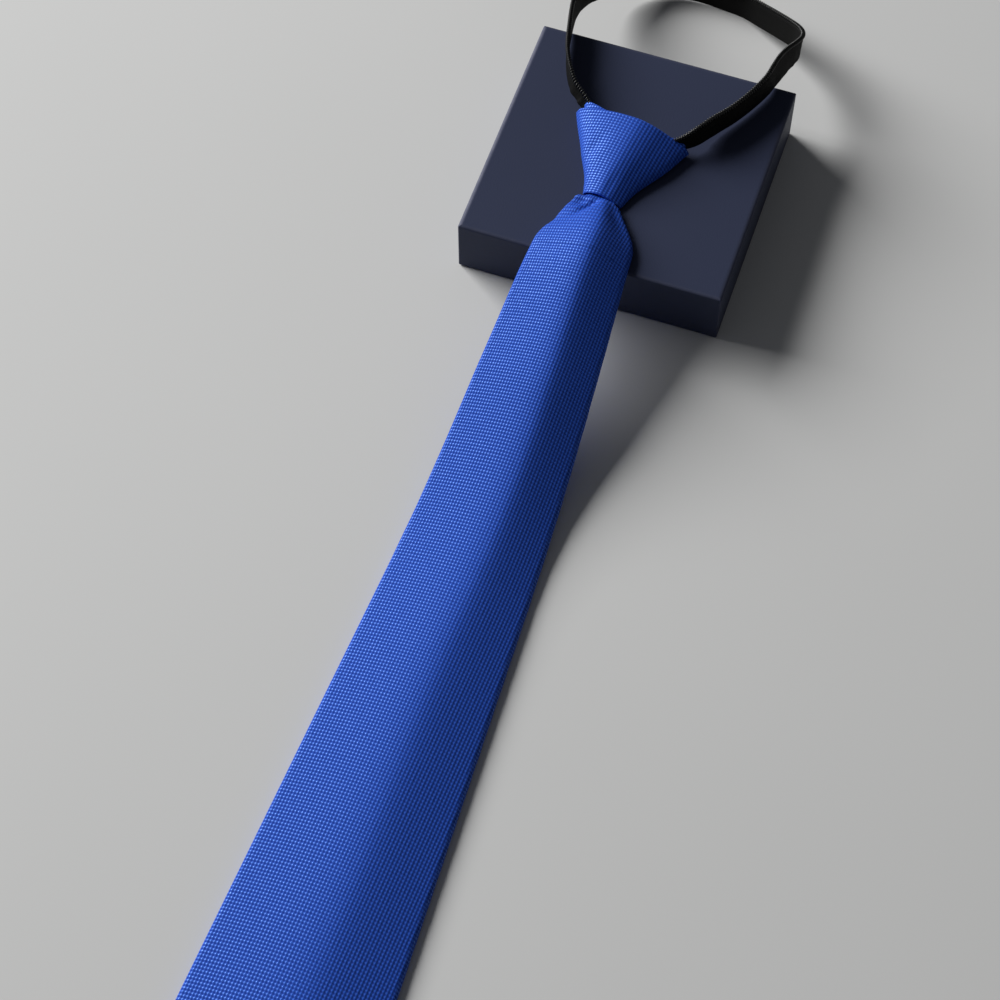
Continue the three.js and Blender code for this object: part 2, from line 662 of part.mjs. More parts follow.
const coilEnds = [frames[0], frames[frames.length - 1]];
const coilEndEdges = coilEnds.map(({ place, face, down }) => {
  return place.y - Math.hypot(face.y, down.y) * coilRadius;
});
const slider = addPiece(tie, 'zipper_slider', sliderGeometry(), NYLON_BLACK);
slider.position.addVectors(coilEnds[0].place, coilEnds[1].place).multiplyScalar(0.5);
slider.position.y = Math.min(...coilEndEdges) - GAP;

// Knot, with room for the tapes in both cloth layers
const knot = new THREE.Group();
knot.position.set(KNOT_OFFSET, hemY, knotFloor);
knot.rotation.z = -knotTurn;
tie.add(knot);
const tapeRoom = [leftFrames, rightFrames].flatMap((half) => {
  const longer = withEndsMoved(half, -GAP, GAP);
  return [tapeGeometry(longer, GAP), coilGeometry(longer, GAP)];
});
addPiece(knot, 'knot_wrap', cutRoom(knotWrapGeometry(), knot, tapeRoom), CLOTH_BLUE);
addPiece(knot, 'knot_core', cutRoom(knotCoreGeometry(), knot, tapeRoom), CLOTH_SHADE);

const blade = new THREE.Group();
blade.position.set(BLADE_OFFSET, hemY, 0);
blade.rotation.z = -THREE.MathUtils.degToRad(BLADE_TURN_DEG);
tie.add(blade);
addPiece(blade, 'blade', bladeGeometry(), CLOTH_BLUE);

export default tie;
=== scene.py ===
# Looks of a zipper tie with a ready-made knot on a closed gift box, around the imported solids.
# Metres, +Z up. The blade runs towards -Y and the zipper neck loop stands behind the knot.
import functools
import json
import math

import bmesh
import bpy
from mathutils import Matrix, Vector

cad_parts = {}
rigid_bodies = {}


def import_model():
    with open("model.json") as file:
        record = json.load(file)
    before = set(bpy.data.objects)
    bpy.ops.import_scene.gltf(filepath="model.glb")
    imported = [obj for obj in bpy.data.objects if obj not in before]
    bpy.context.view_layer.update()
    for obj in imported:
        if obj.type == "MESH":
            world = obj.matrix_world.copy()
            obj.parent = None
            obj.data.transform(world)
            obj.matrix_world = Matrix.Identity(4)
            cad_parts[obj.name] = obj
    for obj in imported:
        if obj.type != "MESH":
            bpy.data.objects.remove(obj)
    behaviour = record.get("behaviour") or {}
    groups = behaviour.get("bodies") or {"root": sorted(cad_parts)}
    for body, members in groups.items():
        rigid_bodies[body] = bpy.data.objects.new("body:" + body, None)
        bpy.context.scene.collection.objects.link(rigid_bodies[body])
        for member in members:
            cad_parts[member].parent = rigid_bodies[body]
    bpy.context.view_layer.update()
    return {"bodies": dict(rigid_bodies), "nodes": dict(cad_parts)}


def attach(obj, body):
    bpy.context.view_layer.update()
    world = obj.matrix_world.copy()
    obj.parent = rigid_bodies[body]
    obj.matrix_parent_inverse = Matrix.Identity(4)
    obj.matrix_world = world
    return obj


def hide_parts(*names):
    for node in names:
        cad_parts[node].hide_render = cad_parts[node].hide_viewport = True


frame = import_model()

MM = 0.001
BODY = next(iter(frame["bodies"]))

# Camera of the photograph: place, turn about Z, height over the horizon, roll and lens
CAMERA_PLACE = (157.6 * MM, -630.1 * MM, 891.8 * MM)
CAMERA_TURN = 0.3296
CAMERA_HEIGHT = 1.0626
CAMERA_ROLL = 0.0024
CAMERA_LENS = 90.56
SENSOR_WIDTH = 36.0

# Running gap and gift box
GAP = 0.3 * MM
BOX_WIDTH = 115 * MM
BOX_DEPTH = 114 * MM
BOX_HEIGHT = 28.6 * MM
BOX_EDGE = 0.9 * MM
BOX_ROUND = 1.8 * MM
BOX_CORNER = 0.6 * MM
BOX_LEAST_CORNER = 0.05 * MM
BOX_MARGIN = 0.3 * MM
BOX_STEPS = 4
# Share of the lighter edge colour on the sides other than the left: wear only. The left side's edges get
# all of it, wear plus a painted highlight.
BOX_LITTLE_WORN = 0.2

# Knot, measured along its own axis from the hem to the top edge
KNOT_LENGTH = 36.5 * MM
KNOT_TOP_WIDTH = 53.4 * MM
KNOT_HEM_WIDTH = 19.6 * MM
KNOT_TOP_RISE = 13.2 * MM
KNOT_HEM_RISE = 6.0 * MM
KNOT_WALL = 1.6 * MM
KNOT_CORE_WALL = 1.3 * MM
KNOT_CORE_DEPTH = 12.5 * MM
HEM_PINCH = 1.8 * MM
TOP_PINCH = 1.9 * MM
TOP_SPREAD = 0.8 * MM
CORE_LIFT = 0.35
KNOT_TURN = math.radians(6)
KNOT_SETBACK = 31.5 * MM
KNOT_OFFSET = -5.0 * MM
HEM_PINCH_END = 0.5
TOP_SPREAD_START = 0.6
TOP_PINCH_START = 0.55
KNOT_BACK_REACH = 0.95
PEEK_POWER = 3

# Blade of the tie, measured from the knot's hem
BLADE_LENGTH = 429 * MM
BLADE_WIDTH = 79 * MM
TIP_LENGTH = 40 * MM
SHOULDER_WIDTH = 41.5 * MM
SHOULDER_DISTANCE = 27 * MM
BLADE_THICKNESS = 3.2 * MM
BLADE_RIDGE = 9 * MM
RIDGE_SOFTNESS_NEAR = 0.2
RIDGE_SOFTNESS_FAR = 0.32
BLADE_TURN = math.radians(0.7)
BLADE_OFFSET = -3.6 * MM
NECK_INSET = 9 * MM
NECK_THICKNESS = 1.3 * MM
NECK_SLACK = 1.5 * MM
BRIDGE_LENGTH = 144 * MM
BRIDGE_BEND = 9 * MM
RIDGE_BLEND = 7 * MM
SEAM_LAP = 0.6 * MM
SEAM_REACH = 10 * MM
SEAM_EDGE = 0.15 * MM
SEAM_LIMIT = 0.25
FOLD_LIMIT = 5
TIP_BLUNT = 0.4 * MM

# Zipper neck loop; the tape's width runs from the coil's middle to its free edge
LOOP_WIDTH = 100 * MM
LOOP_REACH = 106 * MM
LOOP_OFFSET = 1.0 * MM
LOOP_OVERHANG = 60 * MM
TAPE_WIDTH = 11.5 * MM
TAPE_THICKNESS = 1.0 * MM
COIL_DIAMETER = 2.2 * MM
COIL_PITCH = 1.2 * MM
COIL_WIRE = 0.62 * MM
COIL_CORD = 1.0 * MM
TAPE_START = 0.35

# Weave of the tie's cloth: one raised dot in each cell. The blade's columns drift to its left and
# its rows are skewed and bowed, as shares of a metre. Its columns crowd past a share of the half
# width from the ridge. The knot's dots are raised on the part of its arch above a share of its rise.
WEAVE_RELIEF = 0.13 * MM
WEAVE_BUMP = 0.2 * MM
KNOT_RELIEF = 0.1 * MM
KNOT_RELIEF_FROM = 0.1
KNOT_RELIEF_OUT = 0.7
KNOT_RELIEF_FLAT = 0.5
KNOT_BUMP_SHARE = 0.6
BLADE_COLUMN = 1.40 * MM
BLADE_ROW = 1.5 * MM
BLADE_ROW_NEAR = 1.375 * MM
BLADE_ROW_HEM = 2.08 * MM
BLADE_ROW_CHANGE = (60 * MM, 150 * MM)
BLADE_HEM_CHANGE = (12 * MM, 34 * MM)
CROWD_START = 0.4
BLADE_DRIFT = 0.045
BLADE_SKEW = 0.05
BLADE_BOW = 1.5
GATHER_REACH = 180 * MM
KNOT_COLUMN = 1.69 * MM
KNOT_ROW_HEM = 1.08 * MM
KNOT_ROW_TOP = 1.44 * MM
KNOT_DRIFT = 0.067
KNOT_BOW_MIDDLE = -5 * MM
KNOT_BOW_SIZE = 8 * MM
KNOT_BOW = 0.1
KNOT_SKEW = 0.03
KNOT_CROWD = 0.38

# Mesh fineness: how far the dots run round the blade's folds, how much finer the knot's arch is at
# its ends, and spacings and counts
FOLD_TURN = math.radians(150)
UNDER_COLUMNS = 14
SECTION_STEP = 0.05 * MM
ROW_END_ROUNDS = 6
UNFOLD_ROUNDS = 4
KNOT_SPACING = 0.42 * MM
KNOT_HALF_ARCH = 0.72
KNOT_BACK_COLUMNS = 30
ARCH_CROWD = 0.4
INSIDE_STEPS = 10
RIM_TURNS = [math.radians(turn) for turn in (30, 60, 90, 120, 150)]
ROUTE_STEPS = 24
TAPE_SPACING = 0.6 * MM
TAPE_COLUMNS = 6
TAPE_EDGE_TURNS = [math.radians(turn) for turn in (45, 90, 135)]
WIRE_SIDES = 5
WIRE_STEPS = 8
CORD_SPACING = 1.2 * MM
CORD_SIDES = 8

# Colours, linear
CLOTH_GAP_COLOUR = (0.0, 0.015, 0.25, 1)
CLOTH_DOT_COLOUR = (0.014, 0.106, 0.67, 1)
CLOTH_SHINE_COLOUR = (0.3, 0.52, 1, 1)
TAPE_GAP_COLOUR = (0.0006, 0.0006, 0.0006, 1)
TAPE_RIB_COLOUR = (0.003, 0.0031, 0.0027, 1)
NYLON_COLOURS = ((0.006, 0.006, 0.006, 1), (0.014, 0.014, 0.013, 1))
PAPER_COLOURS = ((0.03, 0.036, 0.068, 1), (0.034, 0.041, 0.076, 1))
# Lighter colour of the box's edges: wear, and on the left side a painted highlight where the key light
# grazes them
PAPER_WEAR_AND_HIGHLIGHT_COLOUR = (0.13, 0.13, 0.17, 1)
PAPER_SHINE_COLOUR = (0.6, 0.7, 1, 1)
FLOOR_COLOURS = ((0.61, 0.61, 0.6, 1), (0.65, 0.65, 0.64, 1))

# Surface detail
DOT_ACROSS = 0.225
DOT_ALONG = 0.275
DOT_SHARPNESS = 1.3
DOT_GLOSS = 0.76
DOT_UNEVEN = 0.4
TAPE_RIB = 0.8 * MM
TAPE_THREAD = 0.9 * MM
TAPE_BUMP = 0.15 * MM
NYLON_BUMP = 0.05 * MM
PAPER_BUMP = 0.08 * MM

# Floor and studio light
FLOOR_REACH = 8.0
KEY_PLACE = (-3.2, 0.8, 1.86)
KEY_TARGET = (0, -0.15, 0)
KEY_SIZE = (2.4, 2.0)
KEY_POWER = 228
SKY_COLOUR = (0.9, 0.93, 1, 1)
SKY_STRENGTH = 0.08

# Cloth arch of the knot across its width, as shares of the half width and of the rise
KNOT_ARCH = [
    {"across": -1.0, "rise": 0.16},
    {"across": -0.95, "rise": 0.4},
    {"across": -0.8, "rise": 0.61},
    {"across": -0.6, "rise": 0.77},
    {"across": -0.38, "rise": 0.89},
    {"across": -0.2, "rise": 0.96},
    {"across": 0.0, "rise": 1.0},
    {"across": 0.16, "rise": 0.98},
    {"across": 0.38, "rise": 0.87},
    {"across": 0.6, "rise": 0.69},
    {"across": 0.8, "rise": 0.51},
    {"across": 0.95, "rise": 0.33},
    {"across": 1.0, "rise": 0.16},
]

# Flare of the knot from hem to top, as shares of the change in width and in rise
KNOT_FLARE = [
    {"along": 0.0, "width": 0.0, "rise": 0.0},
    {"along": 0.25, "width": 0.16, "rise": 0.3},
    {"along": 0.5, "width": 0.43, "rise": 0.6},
    {"along": 0.75, "width": 0.73, "rise": 0.85},
    {"along": 1.0, "width": 1.0, "rise": 1.0},
]

# Shallow valleys in the knot, as shares of its half width, its length and its rise. Slant is how far
# a valley moves towards the top for each share across.
KNOT_DENTS = [
    {"across": -0.76, "along": 0.48, "depth": 0.09, "spread": 0.26, "reach": 0.1, "slant": 0.5},
    {"across": 0.2, "along": 0.1, "depth": 0.06, "spread": 0.2, "reach": 0.2, "slant": 0.0},
]

# How far the inner cloth layer stands out of the knot's top, as shares of its own depth
CORE_PEEK = [
    {"across": -1.0, "rise": 0.26},
    {"across": -0.95, "rise": 0.32},
    {"across": -0.86, "rise": 0.28},
    {"across": -0.5, "rise": 0.06},
    {"across": 0.0, "rise": -0.08},
    {"across": 0.5, "rise": -0.02},
    {"across": 0.75, "rise": 0.16},
    {"across": 1.0, "rise": 0.08},
]

# The blade's flare below the hem, as shares of the change from neck to shoulder
FUNNEL = [
    {"along": -0.02, "left": -0.15, "right": 0.0, "ridge": 0.05, "thick": 0.0},
    {"along": 0.01, "left": 0.1, "right": 0.02, "ridge": 0.1, "thick": 0.1},
    {"along": 0.04, "left": 0.25, "right": 0.1, "ridge": 0.18, "thick": 0.2},
    {"along": 0.1, "left": 0.3, "right": 0.22, "ridge": 0.3, "thick": 0.4},
    {"along": 0.27, "left": 0.45, "right": 0.43, "ridge": 0.52, "thick": 1.0},
    {"along": 0.45, "left": 0.56, "right": 0.66, "ridge": 0.72, "thick": 1.0},
    {"along": 0.63, "left": 0.66, "right": 0.85, "ridge": 0.88, "thick": 1.0},
    {"along": 0.82, "left": 0.88, "right": 0.97, "ridge": 0.97, "thick": 1.0},
    {"along": 1.0, "left": 1.0, "right": 1.0, "ridge": 1.0, "thick": 1.0},
]

# The blade below its shoulder, as shares of the way from shoulder to tip shoulder
BLADE_RUN = [
    {"along": 0.0, "width": 0.0, "ridge": 1.0},
    {"along": 0.04, "width": 0.06, "ridge": 0.96},
    {"along": 0.1, "width": 0.14, "ridge": 0.92},
    {"along": 0.2, "width": 0.26, "ridge": 0.86},
    {"along": 0.35, "width": 0.41, "ridge": 0.8},
    {"along": 0.6, "width": 0.64, "ridge": 0.74},
    {"along": 1.0, "width": 1.0, "ridge": 0.66},
]

# Where the ridge lies across the blade, as shares of the blade and of its half width
RIDGE_PLACE = [
    {"along": 0.0, "place": 0.16},
    {"along": 0.1, "place": 0.18},
    {"along": 0.27, "place": 0.24},
    {"along": 0.37, "place": 0.22},
    {"along": 0.5, "place": 0.15},
    {"along": 0.75, "place": 0.17},
    {"along": 1.0, "place": 0.12},
]

# Stretch of the flare in which the blade comes down from the knot's inside to the box
HEM_STEP = {"from": 0.0, "to": 0.22}

# Height of the blade's edges between the box and the table, as shares of the bridge and the box
BRIDGE = [
    {"out": 0.0, "height": 1.0},
    {"out": 0.1, "height": 0.855},
    {"out": 0.23, "height": 0.675},
    {"out": 0.36, "height": 0.52},
    {"out": 0.48, "height": 0.36},
    {"out": 0.6, "height": 0.22},
    {"out": 0.735, "height": 0.1},
    {"out": 0.87, "height": 0.03},
    {"out": 1.0, "height": 0.0},
]

# How tightly the cloth is gathered towards the knot, as shares of the reach and of the flat cloth,
# and how much more its columns crowd at the blade's edges than on the ridge
GATHER = [
    {"out": -0.1, "scale": 0.8, "crowd": 0.34},
    {"out": 0.0, "scale": 0.88, "crowd": 0.34},
    {"out": 0.06, "scale": 0.96, "crowd": 0.33},
    {"out": 0.14, "scale": 0.92, "crowd": 0.3},
    {"out": 0.25, "scale": 0.88, "crowd": 0.22},
    {"out": 0.56, "scale": 0.91, "crowd": 0.19},
    {"out": 0.8, "scale": 0.95, "crowd": 0.16},
    {"out": 1.0, "scale": 0.99, "crowd": 0.11},
    {"out": 1.3, "scale": 1.0, "crowd": 0.07},
]

# Soft dents of the gathered cloth under the hem, as shares of the half width, the flare and the ridge.
# Slant is how far a dent moves across for each share along.
BLADE_DENTS = [
    {"across": -0.62, "along": 0.13, "depth": 0.42, "spread": 0.24, "reach": 0.13, "slant": 0.0},
    {"across": -0.26, "along": 0.16, "depth": 0.55, "spread": 0.13, "reach": 0.24, "slant": -0.8},
    {"across": 0.75, "along": 0.5, "depth": 0.1, "spread": 0.3, "reach": 0.3, "slant": 0.0},
    {"across": 0.62, "along": 0.3, "depth": 0.12, "spread": 0.2, "reach": 0.25, "slant": 0.0},
]

# Route of the coil from the slider round the neck, as shares of half the loop's width and of its
# reach. Lean is degrees that the tape's free edge stands outwards. Lift is how high that edge is
# held over what lies under it, and wide is how much of the tape isn't tucked away inside the knot.
LOOP_ROUTE = [
    {"across": -0.11, "back": -0.13, "lean": 75, "lift": 0.22, "wide": 0.5},
    {"across": -0.12, "back": -0.1, "lean": 70, "lift": 0.22, "wide": 0.5},
    {"across": -0.18, "back": -0.05, "lean": 62, "lift": 0.22, "wide": 0.48},
    {"across": -0.29, "back": 0.0, "lean": 52, "lift": 0.22, "wide": 0.46},
    {"across": -0.4, "back": 0.03, "lean": 40, "lift": 0.21, "wide": 0.46},
    {"across": -0.48, "back": 0.053, "lean": 30, "lift": 0.2, "wide": 0.46},
    {"across": -0.522, "back": 0.069, "lean": 25, "lift": 0.2, "wide": 0.46},
    {"across": -0.557, "back": 0.079, "lean": 15, "lift": 0.19, "wide": 0.54},
    {"across": -0.606, "back": 0.096, "lean": 9, "lift": 0.18, "wide": 0.62},
    {"across": -0.666, "back": 0.116, "lean": 4, "lift": 0.14, "wide": 0.76},
    {"across": -0.712, "back": 0.144, "lean": 4, "lift": 0.11, "wide": 0.87},
    {"across": -0.758, "back": 0.18, "lean": 2, "lift": 0.08, "wide": 0.95},
    {"across": -0.8, "back": 0.218, "lean": 1, "lift": 0.06, "wide": 1},
    {"across": -0.855, "back": 0.286, "lean": 0, "lift": 0.05, "wide": 1},
    {"across": -0.905, "back": 0.385, "lean": -2, "lift": 0.04, "wide": 1},
    {"across": -0.94, "back": 0.46, "lean": -4, "lift": 0.03, "wide": 1},
    {"across": -0.965, "back": 0.53, "lean": -6, "lift": 0.03, "wide": 1},
    {"across": -0.97, "back": 0.64, "lean": -8, "lift": 0.03, "wide": 1},
    {"across": -0.92, "back": 0.76, "lean": -10, "lift": 0.03, "wide": 1},
    {"across": -0.77, "back": 0.88, "lean": -12, "lift": 0.03, "wide": 1},
    {"across": -0.5, "back": 0.965, "lean": -14, "lift": 0.03, "wide": 1},
    {"across": -0.24, "back": 1, "lean": -15, "lift": 0.03, "wide": 1},
    {"across": -0.04, "back": 1.008, "lean": -15, "lift": 0.03, "wide": 1},
    {"across": 0.17, "back": 1, "lean": -16, "lift": 0.03, "wide": 1},
    {"across": 0.38, "back": 0.985, "lean": -17, "lift": 0.03, "wide": 1},
    {"across": 0.58, "back": 0.94, "lean": -18, "lift": 0.03, "wide": 1},
    {"across": 0.8, "back": 0.874, "lean": -16, "lift": 0.03, "wide": 1},
    {"across": 0.925, "back": 0.824, "lean": -12, "lift": 0.03, "wide": 1},
    {"across": 0.99, "back": 0.776, "lean": -6, "lift": 0.03, "wide": 1},
    {"across": 1.01, "back": 0.722, "lean": 0, "lift": 0.03, "wide": 1},
    {"across": 0.99, "back": 0.66, "lean": 8, "lift": 0.03, "wide": 1},
    {"across": 0.944, "back": 0.587, "lean": 14, "lift": 0.03, "wide": 1},
    {"across": 0.912, "back": 0.52, "lean": 15, "lift": 0.03, "wide": 1},
    {"across": 0.893, "back": 0.455, "lean": 12, "lift": 0.03, "wide": 1},
    {"across": 0.87, "back": 0.385, "lean": 9, "lift": 0.04, "wide": 1},
    {"across": 0.791, "back": 0.285, "lean": 6, "lift": 0.05, "wide": 1},
    {"across": 0.692, "back": 0.194, "lean": 4, "lift": 0.06, "wide": 1},
    {"across": 0.628, "back": 0.148, "lean": 4, "lift": 0.08, "wide": 1},
    {"across": 0.566, "back": 0.107, "lean": 6, "lift": 0.1, "wide": 1},
    {"across": 0.479, "back": 0.052, "lean": 9, "lift": 0.14, "wide": 0.88},
    {"across": 0.405, "back": 0.017, "lean": 16, "lift": 0.18, "wide": 0.68},
    {"across": 0.339, "back": -0.005, "lean": 20, "lift": 0.2, "wide": 0.5},
    {"across": 0.27, "back": -0.025, "lean": 32, "lift": 0.21, "wide": 0.46},
    {"across": 0.18, "back": -0.045, "lean": 45, "lift": 0.22, "wide": 0.46},
    {"across": 0.09, "back": -0.07, "lean": 60, "lift": 0.22, "wide": 0.48},
    {"across": 0.02, "back": -0.1, "lean": 70, "lift": 0.22, "wide": 0.5},
    {"across": 0.005, "back": -0.13, "lean": 75, "lift": 0.22, "wide": 0.5},
]

# Height of the tape's lower edge past the box's back, as shares of the overhang and the box
LOOP_FALL = [
    {"past": 0.0, "height": 1.0},
    {"past": 0.17, "height": 0.93},
    {"past": 0.32, "height": 0.8},
    {"past": 0.44, "height": 0.66},
    {"past": 0.6, "height": 0.46},
    {"past": 0.72, "height": 0.31},
    {"past": 0.84, "height": 0.16},
    {"past": 0.95, "height": 0.04},
    {"past": 1.0, "height": 0.0},
]

# Places worked out from the sizes
BOX_FRONT = -BOX_DEPTH / 2
BOX_BACK = BOX_DEPTH / 2
KNOT_FLOOR = BOX_HEIGHT + GAP
HEM_Y = BOX_FRONT + KNOT_SETBACK
KNOT_TOP_Y = HEM_Y + KNOT_LENGTH
INSIDE_FLOOR = KNOT_FLOOR + KNOT_WALL + GAP
NECK_END = KNOT_HEM_WIDTH / 2 * math.sin(KNOT_TURN) + GAP
FUNNEL_LENGTH = SHOULDER_DISTANCE - NECK_END
RUN_LENGTH = BLADE_LENGTH - TIP_LENGTH - SHOULDER_DISTANCE
COIL_RADIUS = COIL_DIAMETER / 2

KNOT_PLACE = Matrix.Translation((KNOT_OFFSET, HEM_Y, KNOT_FLOOR)) @ Matrix.Rotation(-KNOT_TURN, 4, "Z")
BLADE_PLACE = Matrix.Translation((BLADE_OFFSET, HEM_Y, 0)) @ Matrix.Rotation(-BLADE_TURN, 4, "Z")


def read_table(rows, key, x, value):
    """A table's value at x, by straight lines between its rows."""
    if x <= rows[0][key]:
        return rows[0][value]
    for low, high in zip(rows, rows[1:]):
        if x <= high[key]:
            share = (x - low[key]) / (high[key] - low[key])
            return low[value] + share * (high[value] - low[value])
    return rows[-1][value]


def read_smooth(rows, key, x, value):
    """A table's value at x, on a smooth curve through its rows."""
    last = len(rows) - 1
    if x <= rows[0][key]:
        return rows[0][value]
    if x >= rows[last][key]:
        return rows[last][value]
    i = 1
    while x > rows[i][key]:
        i += 1
    low, high = rows[i - 1], rows[i]
    before, after = rows[max(i - 2, 0)], rows[min(i + 1, last)]
    span = high[key] - low[key]
    start_slope = (high[value] - before[value]) / (high[key] - before[key])
    end_slope = (after[value] - low[value]) / (after[key] - low[key])
    t = (x - low[key]) / span
    t2 = t * t
    t3 = t2 * t
    start = (2 * t3 - 3 * t2 + 1) * low[value] + (t3 - 2 * t2 + t) * span * start_slope
    end = (3 * t2 - 2 * t3) * high[value] + (t3 - t2) * span * end_slope
    return start + end


def smoothstep(x, low, high):
    t = min(max((x - low) / (high - low), 0.0), 1.0)
    return t * t * (3 - 2 * t)


def lerp(a, b, t):
    return a + (b - a) * t


def weave_height(u, v):
    """Height of the woven dots at cell coordinates, from -1 in the gaps to 1 on a dot."""
    return 0.5 * (math.cos(2 * math.pi * u) + math.cos(2 * math.pi * v))


def face_outwards(mesh):
    """Turns every face of a closed mesh outwards."""
    shell = bmesh.new()
    shell.from_mesh(mesh)
    bmesh.ops.recalc_face_normals(shell, faces=shell.faces)
    shell.to_mesh(mesh)
    shell.free()


def make_piece(name, points, faces, cloth, slot, *nodes):
    """A mesh object from points and faces, with its cloth coordinates kept as an attribute."""
    mesh = bpy.data.meshes.new(name)
    mesh.from_pydata(points, [], faces)
    face_outwards(mesh)
    coordinates = mesh.attributes.new("cloth", "FLOAT_VECTOR", "POINT")
    for item, value in zip(coordinates.data, cloth):
        item.vector = value
    mesh.polygons.foreach_set("use_smooth", [True] * len(mesh.polygons))
    mesh.update()
    piece = bpy.data.objects.new(name, mesh)
    bpy.context.collection.objects.link(piece)
    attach(piece, BODY)
    if nodes:
        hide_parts(*nodes)
    return piece


def ring_faces(faces, low, high):
    """Faces between two closed rings of point numbers; repeated numbers give triangles or none."""
    size = len(low)
    for i in range(size):
        j = (i + 1) % size
        corners = []
        for number in (low[i], low[j], high[j], high[i]):
            if number not in corners:
                corners.append(number)
        if len(corners) > 2:
            faces.append(tuple(corners))


def tube_faces(rings):
    """Faces through rings of point numbers, with one face at each end."""
    faces = []
    for low, high in zip(rings, rings[1:]):
        ring_faces(faces, low, high)
    for ring in (rings[0], rings[-1]):
        faces.append(tuple(dict.fromkeys(ring)))
    return faces


# Blade


def blade_floor(out, along_funnel):
    """Height of the blade's edges, at a distance out from the box's front."""
    if out > 0:
        soft_out = math.hypot(out, BRIDGE_BEND) - BRIDGE_BEND
        return read_smooth(BRIDGE, "out", soft_out / (BRIDGE_LENGTH - BRIDGE_BEND), "height") * BOX_HEIGHT
    return lerp(INSIDE_FLOOR, KNOT_FLOOR, smoothstep(along_funnel, HEM_STEP["from"], HEM_STEP["to"]))


def roof(across, place, softness):
    """Rounded roof across the blade, 0 at the edges and 1 on the ridge."""
    side = place + 1 if across < place else 1 - place
    share = abs(across - place) / side
    full = math.hypot(1, softness) - softness
    return 1 - (math.hypot(share, softness) - softness) / full


def dent_depth(across, along):
    depth = 0.0
    for dent in BLADE_DENTS:
        a = (across - dent["across"] - dent["slant"] * (along - dent["along"])) / dent["spread"]
        b = (along - dent["along"]) / dent["reach"]
        depth += dent["depth"] * math.exp(-a * a - b * b)
    return depth


@functools.lru_cache(maxsize=None)
def blade_section(step):
    """Size of the blade at a number of section steps from the hem."""
    distance = step * SECTION_STEP
    neck_half = KNOT_HEM_WIDTH / 2 - KNOT_WALL - NECK_SLACK
    neck_shift = BLADE_OFFSET - KNOT_OFFSET
    neck_left = neck_half + neck_shift
    neck_right = neck_half - neck_shift
    shoulder_half = SHOULDER_WIDTH / 2
    along = (distance - NECK_END) / FUNNEL_LENGTH
    if along < 1:
        left = lerp(neck_left, shoulder_half, read_smooth(FUNNEL, "along", along, "left"))
        right = lerp(neck_right, shoulder_half, read_smooth(FUNNEL, "along", along, "right"))
        ridge = read_smooth(FUNNEL, "along", along, "ridge") * BLADE_RIDGE
        thickness = lerp(NECK_THICKNESS, BLADE_THICKNESS, read_smooth(FUNNEL, "along", along, "thick"))
    else:
        run = min((distance - SHOULDER_DISTANCE) / RUN_LENGTH, 1.0)
        after = smoothstep(distance - SHOULDER_DISTANCE, 0, RIDGE_BLEND)
        narrow = min((BLADE_LENGTH - distance) / TIP_LENGTH, 1.0)
        width = lerp(SHOULDER_WIDTH, BLADE_WIDTH, read_smooth(BLADE_RUN, "along", run, "width"))
        left = right = narrow * width / 2
        ridge = lerp(1.0, read_smooth(BLADE_RUN, "along", run, "ridge"), after) * BLADE_RIDGE * narrow
        thickness = BLADE_THICKNESS
    return {
        "left": left,
        "right": right,
        "ridge": ridge,
        "thickness": thickness,
        "place": read_smooth(RIDGE_PLACE, "along", distance / BLADE_LENGTH, "place"),
        "softness": lerp(RIDGE_SOFTNESS_NEAR, RIDGE_SOFTNESS_FAR, distance / BLADE_LENGTH),
        "gather": read_smooth(GATHER, "out", distance / GATHER_REACH, "scale"),
        "crowd": read_smooth(GATHER, "out", distance / GATHER_REACH, "crowd"),
        "along": along,
        "floor": blade_floor(distance - KNOT_SETBACK, along),
    }


def row_distance(row, x):
    """Distance from the hem of a place on a skewed and bowed row of the weave."""
    return min(row + BLADE_SKEW * x + BLADE_BOW * x * x, BLADE_LENGTH - TIP_BLUNT)


def section_at(row, x):
    return blade_section(round(row_distance(row, x) / SECTION_STEP))


def row_end(row, side):
    """Where a row meets the blade's left edge, side -1, or its right edge, side 1."""
    x = 0.0
    for _ in range(ROW_END_ROUNDS):
        size = section_at(row, x)
        x = side * size["right" if side > 0 else "left"]
    return x


